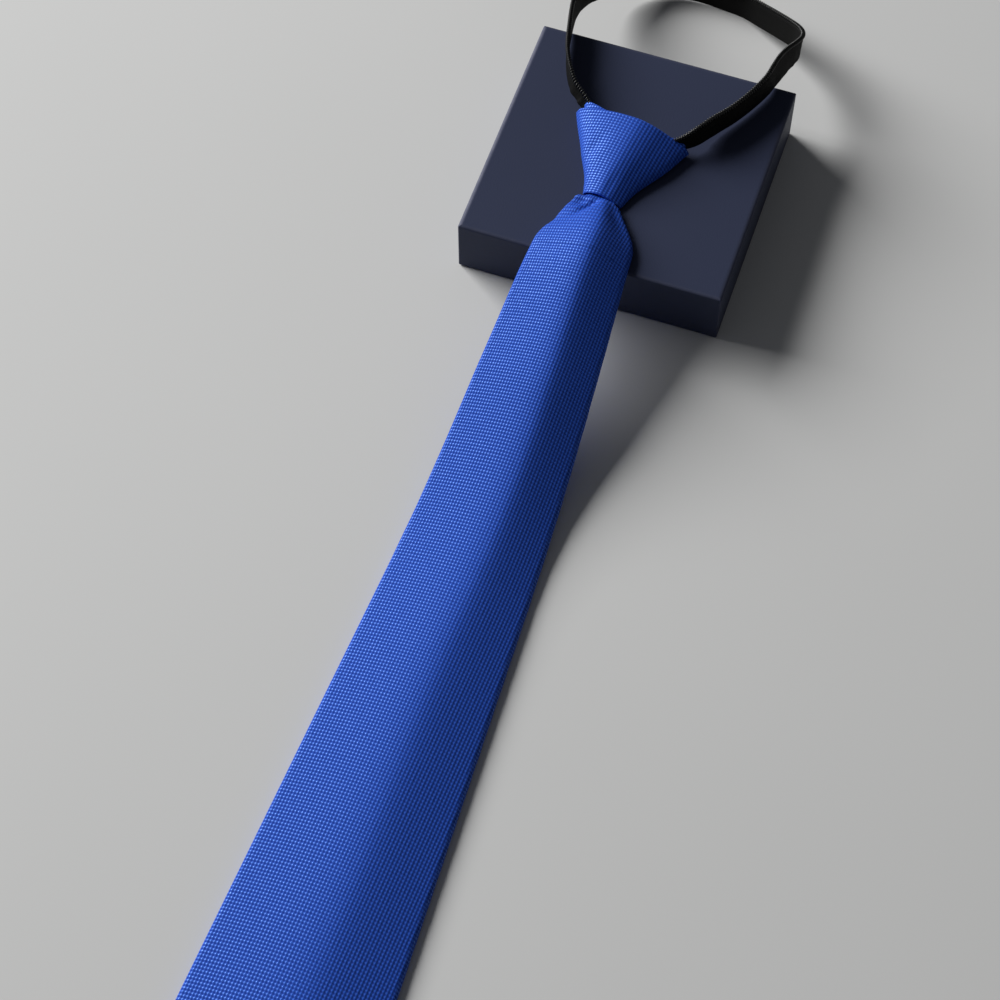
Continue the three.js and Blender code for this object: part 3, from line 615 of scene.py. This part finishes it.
def blade_row(row, v, columns):
    """One closed row of the blade: points, cell coordinates, and each column's point number."""
    left, right = row_end(row, -1), row_end(row, 1)
    thickness = section_at(row, 0.0)["thickness"]
    radius = min(thickness / 2, (right - left) / FOLD_LIMIT)
    top_left, top_right = left + radius, right - radius
    reach = FOLD_TURN * radius
    points, cloth, numbers = [], [], []

    def middle(x):
        size = section_at(row, x)
        across = min(max(x / size["left"] if x < 0 else x / size["right"], -1.0), 1.0)
        lift = roof(across, size["place"], size["softness"]) - dent_depth(across, size["along"])
        return size["floor"] + thickness / 2 + size["ridge"] * lift

    def crowding(x, size):
        half = (size["left"] + size["right"]) / 2
        out = x / half - size["place"]
        return size["crowd"] * half * out * (abs(out) / 2 - CROWD_START)

    def cell(x):
        size = section_at(row, x)
        across = (x + crowding(x, size)) / size["gather"]
        return (across + BLADE_DRIFT * row_distance(row, x)) / BLADE_COLUMN

    def unfolded(flat):
        x = 0.0
        for _ in range(UNFOLD_ROUNDS):
            size = section_at(row, x)
            x = size["gather"] * (flat - BLADE_DRIFT * row_distance(row, x)) - crowding(x, size)
            x = min(max(x, top_left - reach), top_right + reach)
        return x

    def add(x, z, u):
        numbers.append(len(points))
        points.append(Vector((x, -row_distance(row, x), z)))
        cloth.append((u, v, 1.0))

    last = None
    for i in range(-columns, columns + 1):
        place = unfolded(i / 2 * BLADE_COLUMN)
        if place == last:
            numbers.append(len(points) - 1)
            continue
        last = place
        inside = top_left - reach < place < top_right + reach
        relief = weave_height(i / 2, v) * WEAVE_RELIEF / 2 if inside else 0.0
        edge = min(max(place, top_left), top_right)
        turn = (place - edge) / radius
        x = edge + radius * math.sin(turn)
        z = middle(x) + math.cos(turn) * thickness / 2
        add(x + relief * math.sin(turn), z + relief * math.cos(turn), i / 2 if inside else cell(place))
    seam_at = (right + left) / 2
    lap_depth = min(SEAM_LAP, thickness * SEAM_LIMIT)
    lap_edge = min(SEAM_EDGE, radius * SEAM_LIMIT)
    half_count = UNDER_COLUMNS // 2
    shares = [i / half_count for i in range(half_count + 1)]
    stops = [lerp(top_right, seam_at + lap_edge, share) for share in shares]
    stops += [lerp(seam_at - lap_edge, top_left, share) for share in shares]
    for x in stops:
        from_seam = (x - seam_at) / SEAM_REACH
        lap = lap_depth * (1 - from_seam) if 0 < from_seam < 1 else 0.0
        edge = top_right + math.pi * radius if x > seam_at else top_left - math.pi * radius
        back = top_right if x > seam_at else top_left
        add(x, middle(x) - thickness / 2 + lap, cell(edge) + cell(back) - cell(x))
    return points, cloth, numbers


def blade_rows():
    """Distance of each half row of the weave from the hem."""
    rows = [-NECK_INSET]
    while True:
        near = lerp(BLADE_ROW_HEM, BLADE_ROW_NEAR, smoothstep(rows[-1], *BLADE_HEM_CHANGE))
        step = lerp(near, BLADE_ROW, smoothstep(rows[-1], *BLADE_ROW_CHANGE)) / 2
        if rows[-1] + step > BLADE_LENGTH - TIP_BLUNT:
            return rows
        rows.append(rows[-1] + step)


def build_blade():
    """The blade: a folded cloth tube with real woven dots, rounded folds and a lapped back seam."""
    reach = BLADE_WIDTH + 2 * BLADE_DRIFT * BLADE_LENGTH + 2 * BLADE_THICKNESS
    columns = math.ceil(reach / BLADE_COLUMN)
    points, cloth, rings = [], [], []
    for n, row in enumerate(blade_rows()):
        row_points, row_cloth, numbers = blade_row(row, n / 2, columns)
        first = len(points)
        points += [BLADE_PLACE @ point for point in row_points]
        cloth += row_cloth
        rings.append([first + number for number in numbers])
    return make_piece("blade_cloth", points, tube_faces(rings), cloth, "tie_cloth", "blade")


# Knot


def knot_size(along):
    width = read_smooth(KNOT_FLARE, "along", along, "width")
    rise = read_smooth(KNOT_FLARE, "along", along, "rise")
    half = lerp(KNOT_HEM_WIDTH, KNOT_TOP_WIDTH, width) / 2
    return half, lerp(KNOT_HEM_RISE, KNOT_TOP_RISE, rise)


def side_pinch(across, along):
    """How much narrower the knot is at the left of its hem and at the right of its top."""
    if across < 0:
        pinch = HEM_PINCH * (1 - smoothstep(along, 0, HEM_PINCH_END))
        return pinch - TOP_SPREAD * smoothstep(along, TOP_SPREAD_START, 1)
    return TOP_PINCH * smoothstep(along, TOP_PINCH_START, 1)


def knot_dent(across, along):
    depth = 0.0
    for dent in KNOT_DENTS:
        a = (across - dent["across"]) / dent["spread"]
        b = (along - dent["along"] - dent["slant"] * (across - dent["across"])) / dent["reach"]
        depth += dent["depth"] * math.exp(-a * a - b * b)
    return depth


def knot_section(count_arch):
    """Places round the knot's section, as shares of half width and rise, left to right and back."""
    even = [-1 + 2 * i / count_arch for i in range(count_arch + 1)]
    arch = [lerp(share, math.sin(share * math.pi / 2), ARCH_CROWD) for share in even]
    places = [(across, read_smooth(KNOT_ARCH, "across", across, "rise")) for across in arch]
    for i in range(KNOT_BACK_COLUMNS + 1):
        places.append((lerp(KNOT_BACK_REACH, -KNOT_BACK_REACH, i / KNOT_BACK_COLUMNS), 0.0))
    return places


def knot_point(place, along, inset):
    half, rise = knot_size(along)
    across, share = place
    height = share * (rise - 2 * inset) * (1 - knot_dent(across, along))
    return across * (half - side_pinch(across, along) - inset), inset + height


def knot_cell(x, y, arc):
    """Cell coordinates of the knot's cloth, from plan place and length round the arch."""
    change = (KNOT_ROW_TOP - KNOT_ROW_HEM) / KNOT_LENGTH
    rows = math.log1p(change * max(y, -KNOT_WALL) / KNOT_ROW_HEM) / change
    from_middle = x - KNOT_BOW_MIDDLE
    bow = KNOT_BOW * (math.hypot(from_middle, KNOT_BOW_SIZE) - KNOT_BOW_SIZE) + KNOT_SKEW * from_middle
    crowd = KNOT_CROWD * max(y, 0.0) / KNOT_LENGTH * min(arc, 0.0) ** 2 / KNOT_TOP_WIDTH
    return (arc - crowd - KNOT_DRIFT * y) / KNOT_COLUMN, rows + bow / MM


def sleeve_stations(steps):
    """Way round the wall: share of the length, depth in the wall, push past its end, if outside."""

    def rim(share, way):
        return [(share, (1 - math.cos(turn)) / 2, way * math.sin(turn) / 2, False) for turn in RIM_TURNS]

    stations = [(i / steps, 0.0, 0.0, True) for i in range(steps + 1)]
    stations += rim(1.0, 1)
    stations += [(1 - i / INSIDE_STEPS, 1.0, 0.0, False) for i in range(INSIDE_STEPS + 1)]
    stations += reversed(rim(0.0, -1))
    return stations


def arc_lengths(flat):
    """Length along a line of flat places, at each of them."""
    arcs = [0.0]
    for (x0, z0), (x1, z1) in zip(flat, flat[1:]):
        arcs.append(arcs[-1] + math.hypot(x1 - x0, z1 - z0))
    return arcs


def build_sleeve(name, node, from_share, inset, wall, peek):
    """One cloth layer of the knot, with rounded rims at both ends."""
    count_arch = 2 * math.ceil(KNOT_TOP_WIDTH / KNOT_SPACING * KNOT_HALF_ARCH)
    places = knot_section(count_arch)
    steps = math.ceil((1 - from_share) * KNOT_LENGTH / KNOT_SPACING)
    points, cloth, faces, rings = [], [], [], []
    for share, deep, push, outside in sleeve_stations(steps):
        along = lerp(from_share, 1.0, share)
        depth = wall * deep
        wrap_round = depth * (1 if share > 0.5 else -1)
        half, _ = knot_size(along)
        flat = [knot_point(place, along, inset + depth) for place in places]
        arcs = arc_lengths(flat)
        middle_arc = arcs[count_arch // 2]
        ring = []
        for (x, z), (across, rise), arc in zip(flat, places, arcs):
            out = peek * read_table(CORE_PEEK, "across", x / half, "rise") * share ** PEEK_POWER
            y = along * KNOT_LENGTH + wall * push + out
            z += CORE_LIFT * max(out, 0.0)
            u, v = knot_cell(x, y + wrap_round, arc - middle_arc)
            if outside and rise > KNOT_RELIEF_FROM:
                lift = weave_height(u, v) * KNOT_RELIEF / 2
                x += lift * across * KNOT_RELIEF_OUT
                z += lift * (1 - abs(across) * KNOT_RELIEF_FLAT)
            ring.append(len(points))
            points.append(KNOT_PLACE @ Vector((x, y, z)))
            cloth.append((u, v, KNOT_BUMP_SHARE))
        rings.append(ring)
    for low, high in zip(rings, rings[1:] + rings[:1]):
        ring_faces(faces, high, low)
    return make_piece(name, points, faces, cloth, "tie_cloth", node)


# Zipper neck loop


def loop_plan():
    plan = []
    for row in LOOP_ROUTE:
        x = LOOP_OFFSET + row["across"] * LOOP_WIDTH / 2
        y = KNOT_TOP_Y + row["back"] * LOOP_REACH
        past = max(0.0, (y - BOX_BACK) / LOOP_OVERHANG)
        floor = read_table(LOOP_FALL, "past", past, "height") * BOX_HEIGHT
        lean = math.radians(row["lean"])
        width = row["wide"] * TAPE_WIDTH
        z = floor + GAP + row["lift"] * TAPE_WIDTH + width * math.cos(lean)
        plan.append((Vector((x, y, z)), lean, width))
    return plan


def curve_point(points, i, t):
    """Centripetal curve through the points, between points i and i + 1."""
    last = len(points) - 1
    b, c = points[i], points[i + 1]
    a = points[i - 1] if i > 0 else b + (b - c)
    d = points[i + 2] if i + 2 <= last else c + (c - b)
    ab, bc, cd = [math.sqrt((q - p).length) for p, q in ((a, b), (b, c), (c, d))]
    start = ((b - a) / ab - (c - a) / (ab + bc) + (c - b) / bc) * bc
    end = ((c - b) / bc - (d - b) / (bc + cd) + (d - c) / cd) * bc
    t2, t3 = t * t, t * t * t
    return (2 * t3 - 3 * t2 + 1) * b + (t3 - 2 * t2 + t) * start + (3 * t2 - 2 * t3) * c + (t3 - t2) * end


def blend_rows(values, at):
    """A smoothed value between rows, each row eased over its two neighbours."""
    row = min(int(at + 0.5), len(values) - 1)
    share = at + 0.5 - row
    near, middle, far = values[max(row - 1, 0)], values[row], values[min(row + 1, len(values) - 1)]
    start, end = (near + middle) / 2, (middle + far) / 2
    return (1 - share) ** 2 * start + 2 * share * (1 - share) * middle + share ** 2 * end


def loop_frames(plan, first, last, spacing):
    """Even frames along part of the route: place, tangent, down the tape, across it, width, length."""
    points = [row[0] for row in plan]
    fine = []
    for i in range(first, last):
        for k in range(ROUTE_STEPS):
            share = k / ROUTE_STEPS
            fine.append((i + share, curve_point(points, i, share)))
    fine.append((last, points[last]))
    lengths = [0.0]
    for (_, p), (_, q) in zip(fine, fine[1:]):
        lengths.append(lengths[-1] + (q - p).length)
    count = max(2, round(lengths[-1] / spacing))
    frames, j = [], 0
    for n in range(count + 1):
        target = lengths[-1] * n / count
        while j < len(fine) - 2 and lengths[j + 1] < target:
            j += 1
        share = (target - lengths[j]) / (lengths[j + 1] - lengths[j])
        share = min(max(share, 0.0), 1.0)
        place = fine[j][1].lerp(fine[j + 1][1], share)
        at = lerp(fine[j][0], fine[j + 1][0], share)
        lean = blend_rows([row[1] for row in plan], at)
        width = blend_rows([row[2] for row in plan], at)
        frames.append((place, lean, width, target))
    result = []
    for n, (place, lean, width, target) in enumerate(frames):
        before, after = frames[max(n - 1, 0)][0], frames[min(n + 1, count)][0]
        tangent = (after - before).normalized()
        outward = Vector((-tangent.y, tangent.x, 0)).normalized()
        down = Vector((0, 0, -math.cos(lean))) + outward * math.sin(lean)
        down = (down - tangent * down.dot(tangent)).normalized()
        face = tangent.cross(down)
        result.append((place, tangent, down, face, width, target))
    return result


def tape_section(width):
    """Places round the tape's section: distance below the coil's middle, and across."""
    half = TAPE_THICKNESS / 2
    near, far = TAPE_START * COIL_RADIUS, width - half
    places = [(lerp(near, far, i / TAPE_COLUMNS), half) for i in range(TAPE_COLUMNS + 1)]
    places += [(far + half * math.sin(turn), half * math.cos(turn)) for turn in TAPE_EDGE_TURNS]
    places += [(lerp(far, near, i / TAPE_COLUMNS), -half) for i in range(TAPE_COLUMNS + 1)]
    return places


def build_tape(name, node, frames):
    points, cloth, rings = [], [], []
    for place, _, down, face, width, length in frames:
        ring = []
        for along, across in tape_section(width):
            ring.append(len(points))
            points.append(place + down * along + face * across)
            cloth.append((along, length, 1.0))
        rings.append(ring)
    return make_piece(name, points, tube_faces(rings), cloth, "zipper_tape", node)


def tube_mesh(points, faces, cloth, path, radius, sides, lengths):
    """Adds a closed tube along a path of places with two side directions each."""
    rings = []
    for (place, one, two), length in zip(path, lengths):
        ring = []
        for k in range(sides):
            angle = 2 * math.pi * k / sides
            ring.append(len(points))
            points.append(place + (one * math.cos(angle) + two * math.sin(angle)) * radius)
            cloth.append((angle / (2 * math.pi), length, 1.0))
        rings.append(ring)
    faces += tube_faces(rings)


def build_coil(name, node, plan, first, last):
    """The nylon coil: a helix of wire round a filler cord."""
    points, cloth, faces = [], [], []
    frames = loop_frames(plan, first, last, COIL_PITCH / WIRE_STEPS)
    path, lengths = [], []
    swing = COIL_RADIUS - COIL_WIRE / 2
    for place, tangent, down, face, _, length in frames:
        turn = 2 * math.pi * length / COIL_PITCH
        out = down * math.cos(turn) + face * math.sin(turn)
        path.append((place + out * swing, out, tangent))
        lengths.append(length)
    tube_mesh(points, faces, cloth, path, COIL_WIRE / 2, WIRE_SIDES, lengths)
    cord = loop_frames(plan, first, last, CORD_SPACING)
    cord_path = [(place, down, face) for place, _, down, face, _, _ in cord]
    tube_mesh(points, faces, cloth, cord_path, COIL_CORD / 2, CORD_SIDES, [row[5] for row in cord])
    return make_piece(name, points, faces, cloth, "zipper_nylon", node)


# Gift box


def box_ring(inset):
    """One ring round the box: places, how far round a corner each is, and how much edge colour its side
    gets: a little wear on every side, plus a painted highlight on the left side.
    """
    radius = max(BOX_CORNER - inset, BOX_LEAST_CORNER)
    x = BOX_WIDTH / 2 - inset - radius
    y = BOX_DEPTH / 2 - inset - radius
    ring = []
    for quarter, (side_x, side_y) in enumerate(((1, 1), (-1, 1), (-1, -1), (1, -1))):
        middle = Vector((side_x * x, side_y * y, 0))
        for i in range(-1, BOX_STEPS + 2):
            share = min(max(i / BOX_STEPS, 0.0), 1.0)
            angle = (quarter + share) * math.pi / 2
            out = Vector((math.cos(angle), math.sin(angle), 0))
            forward = Vector((-math.sin(angle), math.cos(angle), 0))
            margin = BOX_MARGIN * ((i > BOX_STEPS) - (i < 0))
            place = middle + out * radius + forward * margin
            # The left side, facing the key light, gets the full edge colour as a painted highlight over the
            # wear; the others only a little wear.
            ring.append((place, math.sin(math.pi * share), 1.0 if place.x <= -x else BOX_LITTLE_WORN))
    return ring


def build_box():
    """The closed box, wrapped in paper over crisp edges that are a little worn, with a painted highlight
    along the edges of its left side.
    """
    turns = [i / BOX_STEPS * math.pi / 2 for i in range(BOX_STEPS + 1)]
    rim = [(BOX_ROUND + BOX_MARGIN, 0.0, 0.0)]
    # Share of edge colour across each rounded edge, for wear and the painted highlight
    rim += [(BOX_ROUND * (1 - math.sin(t)), BOX_EDGE * (1 - math.cos(t)), math.sin(2 * t)) for t in turns]
    rim += [(0.0, BOX_EDGE + BOX_MARGIN, 0.0)]
    rows = rim + [(inset, BOX_HEIGHT - z, wear_and_highlight) for inset, z, wear_and_highlight in reversed(rim)]
    points, cloth, rings = [], [], []
    for inset, z, wear_and_highlight in rows:
        ring = []
        for place, corner, side in box_ring(inset):
            ring.append(len(points))
            points.append(place + Vector((0, 0, z)))
            cloth.append((0.0, 0.0, max(wear_and_highlight, corner if inset == 0.0 else 0.0) * side))
        rings.append(ring)
    return make_piece("box_cover", points, tube_faces(rings), cloth, "box_paper", "gift_box")


# Materials


class Nodes:
    """Short calls for building one material's nodes."""

    def __init__(self, name):
        self.material = bpy.data.materials.new(name)
        self.material.use_nodes = True
        self.tree = self.material.node_tree
        self.shader = self.tree.nodes["Principled BSDF"]

    def add(self, kind, **settings):
        node = self.tree.nodes.new(kind)
        for key, value in settings.items():
            setattr(node, key, value)
        return node

    def link(self, source, target):
        self.tree.links.new(source, target)

    def math(self, operation, *values):
        node = self.add("ShaderNodeMath", operation=operation)
        for i, value in enumerate(values):
            if isinstance(value, (int, float)):
                node.inputs[i].default_value = value
            else:
                self.link(value, node.inputs[i])
        return node.outputs[0]

    def mix(self, share, low, high):
        node = self.add("ShaderNodeMix", data_type="RGBA")
        for socket, value in ((node.inputs[0], share), (node.inputs[6], low), (node.inputs[7], high)):
            if hasattr(value, "is_output"):
                self.link(value, socket)
            else:
                socket.default_value = value
        return node.outputs[2]

    def noise(self, vector, scale, detail=2.0, roughness=0.5):
        node = self.add("ShaderNodeTexNoise")
        node.inputs["Scale"].default_value = scale
        node.inputs["Detail"].default_value = detail
        node.inputs["Roughness"].default_value = roughness
        self.link(vector, node.inputs["Vector"])
        return node.outputs[0]

    def cloth(self):
        """The three cloth coordinates of the mesh."""
        node = self.add("ShaderNodeAttribute", attribute_name="cloth", attribute_type="GEOMETRY")
        split = self.add("ShaderNodeSeparateXYZ")
        self.link(node.outputs["Vector"], split.inputs[0])
        return split.outputs[0], split.outputs[1], split.outputs[2]

    def place(self):
        return self.add("ShaderNodeTexCoord").outputs["Object"]

    def wave(self, operation, value, pitch):
        """A sine or cosine with one turn for each pitch."""
        return self.math(operation, self.math("MULTIPLY", value, 2 * math.pi / pitch))

    def bump(self, height, distance):
        node = self.add("ShaderNodeBump")
        node.inputs["Distance"].default_value = distance
        node.inputs["Strength"].default_value = 1.0
        self.link(height, node.inputs["Height"])
        self.link(node.outputs[0], self.shader.inputs["Normal"])

    def feed(self, name, source):
        self.link(source, self.shader.inputs[name])

    def set(self, name, value):
        self.shader.inputs[name].default_value = value


def cloth_material():
    """Royal blue cloth with a raised dot in each cell of its weave."""
    n = Nodes("blue_dot_weave")
    u, v, weight = n.cloth()
    across = n.math("MULTIPLY_ADD", n.wave("COSINE", u, 1), DOT_ACROSS, 0.5)
    dots = n.math("MULTIPLY_ADD", n.wave("COSINE", v, 1), DOT_ALONG, across)
    cell = n.add("ShaderNodeCombineXYZ")
    n.link(n.math("ROUND", u), cell.inputs[0])
    n.link(n.math("ROUND", v), cell.inputs[1])
    white = n.add("ShaderNodeTexWhiteNoise")
    n.link(cell.outputs[0], white.inputs["Vector"])
    uneven = n.math("MULTIPLY_ADD", white.outputs["Value"], DOT_UNEVEN, 1 - DOT_UNEVEN / 2)
    crest = n.math("POWER", dots, DOT_SHARPNESS)
    height = n.math("MULTIPLY", n.math("MULTIPLY", crest, uneven), weight)
    n.feed("Base Color", n.mix(crest, CLOTH_GAP_COLOUR, CLOTH_DOT_COLOUR))
    n.feed("Roughness", n.math("MULTIPLY_ADD", n.math("POWER", dots, 2.0), -DOT_GLOSS, 1.0))
    n.set("IOR", 1.8)
    n.set("Specular IOR Level", 0.8)
    n.set("Specular Tint", CLOTH_SHINE_COLOUR)
    n.bump(height, WEAVE_BUMP)
    return n.material


def tape_material():
    """Black woven tape with fine ribs across it."""
    n = Nodes("black_ribbed_tape")
    u, v, _ = n.cloth()
    ribs = n.math("MULTIPLY", n.wave("SINE", v, TAPE_RIB), n.wave("SINE", u, TAPE_THREAD))
    height = n.math("MULTIPLY_ADD", ribs, 0.5, 0.5)
    n.feed("Base Color", n.mix(height, TAPE_GAP_COLOUR, TAPE_RIB_COLOUR))
    n.set("Roughness", 0.8)
    n.set("Specular IOR Level", 0.14)
    n.bump(height, TAPE_BUMP)
    return n.material


def nylon_material():
    """Black nylon of the coil and the slider, with a soft shine."""
    n = Nodes("black_nylon")
    grain = n.noise(n.place(), 900.0)
    n.feed("Base Color", n.mix(grain, *NYLON_COLOURS))
    n.set("Roughness", 0.35)
    n.bump(grain, NYLON_BUMP)
    return n.material


def box_material():
    """Dark navy paper with a fine grain, lighter along the edges: partly wear, and on the left side a
    painted highlight.
    """
    n = Nodes("navy_paper")
    _, _, wear_and_highlight = n.cloth()
    place = n.place()
    grain = n.noise(place, 1400.0, 3.0, 0.6)
    plain = n.mix(n.noise(place, 14.0), *PAPER_COLOURS)
    # Lighter edges: wear, and on the left side a painted highlight
    wear_and_highlight_mix = n.math("MULTIPLY", wear_and_highlight, n.math("MULTIPLY_ADD", n.noise(place, 260.0), 1.1, 0.2))
    n.feed("Base Color", n.mix(wear_and_highlight_mix, plain, PAPER_WEAR_AND_HIGHLIGHT_COLOUR))
    n.set("Roughness", 0.55)
    n.set("Specular IOR Level", 0.22)
    n.set("Specular Tint", PAPER_SHINE_COLOUR)
    n.bump(grain, PAPER_BUMP)
    return n.material


def floor_material():
    n = Nodes("pale_floor")
    n.feed("Base Color", n.mix(n.noise(n.place(), 3.0), *FLOOR_COLOURS))
    n.set("Roughness", 0.85)
    return n.material


def paint(piece, material):
    piece.data.materials.clear()
    piece.data.materials.append(material)


# Floor, light and camera


def add_floor():
    reach = FLOOR_REACH
    mesh = bpy.data.meshes.new("floor")
    corners = [(-reach, -reach, 0), (reach, -reach, 0), (reach, reach, 0), (-reach, reach, 0)]
    mesh.from_pydata(corners, [], [(0, 1, 2, 3)])
    floor = bpy.data.objects.new("floor", mesh)
    bpy.context.collection.objects.link(floor)
    paint(floor, floor_material())


def add_lights():
    """One large soft key light from the left, and a faint even sky."""
    data = bpy.data.lights.new("key", "AREA")
    data.shape = "RECTANGLE"
    data.size, data.size_y = KEY_SIZE
    data.energy = KEY_POWER
    key = bpy.data.objects.new("key", data)
    key.location = KEY_PLACE
    key.rotation_euler = (Vector(KEY_TARGET) - Vector(KEY_PLACE)).to_track_quat("-Z", "Y").to_euler()
    bpy.context.collection.objects.link(key)
    world = bpy.data.worlds.new("studio")
    world.use_nodes = True
    sky = world.node_tree.nodes["Background"]
    sky.inputs[0].default_value = SKY_COLOUR
    sky.inputs[1].default_value = SKY_STRENGTH
    bpy.context.scene.world = world
    bpy.context.scene.view_settings.view_transform = "Standard"


def add_camera():
    turn, height, roll = CAMERA_TURN, CAMERA_HEIGHT, CAMERA_ROLL
    back = Vector((math.sin(turn) * math.cos(height), -math.cos(turn) * math.cos(height), math.sin(height)))
    right = Vector((math.cos(turn), math.sin(turn), 0))
    up = back.cross(right)
    right, up = (
        right * math.cos(roll) + up * math.sin(roll),
        up * math.cos(roll) - right * math.sin(roll),
    )
    data = bpy.data.cameras.new("camera")
    data.sensor_width = SENSOR_WIDTH
    data.lens = CAMERA_LENS
    camera = bpy.data.objects.new("camera", data)
    camera.matrix_world = Matrix.Translation(CAMERA_PLACE) @ Matrix((right, up, back)).transposed().to_4x4()
    bpy.context.collection.objects.link(camera)
    bpy.context.scene.camera = camera


def main():
    add_camera()
    cloth, tape, nylon = cloth_material(), tape_material(), nylon_material()
    paint(build_blade(), cloth)
    paint(build_sleeve("knot_cloth", "knot_wrap", 0.0, 0.0, KNOT_WALL, 0.0), cloth)
    core_start = 1 - KNOT_CORE_DEPTH / KNOT_LENGTH
    core_inset = KNOT_WALL + 2 * GAP
    core = build_sleeve("knot_fold", "knot_core", core_start, core_inset, KNOT_CORE_WALL, KNOT_CORE_DEPTH)
    paint(core, cloth)
    plan = loop_plan()
    back_row = max(range(len(LOOP_ROUTE)), key=lambda i: LOOP_ROUTE[i]["back"])
    halves = {"left": (0, back_row), "right": (back_row, len(plan) - 1)}
    for side, (first, last) in halves.items():
        frames = loop_frames(plan, first, last, TAPE_SPACING)
        paint(build_tape(f"tape_band_{side}", f"tape_{side}", frames), tape)
        paint(build_coil(f"coil_teeth_{side}", f"coil_{side}", plan, first, last), nylon)
    paint(frame["nodes"]["zipper_slider"], nylon)
    paint(build_box(), box_material())
    add_floor()
    add_lights()


main()
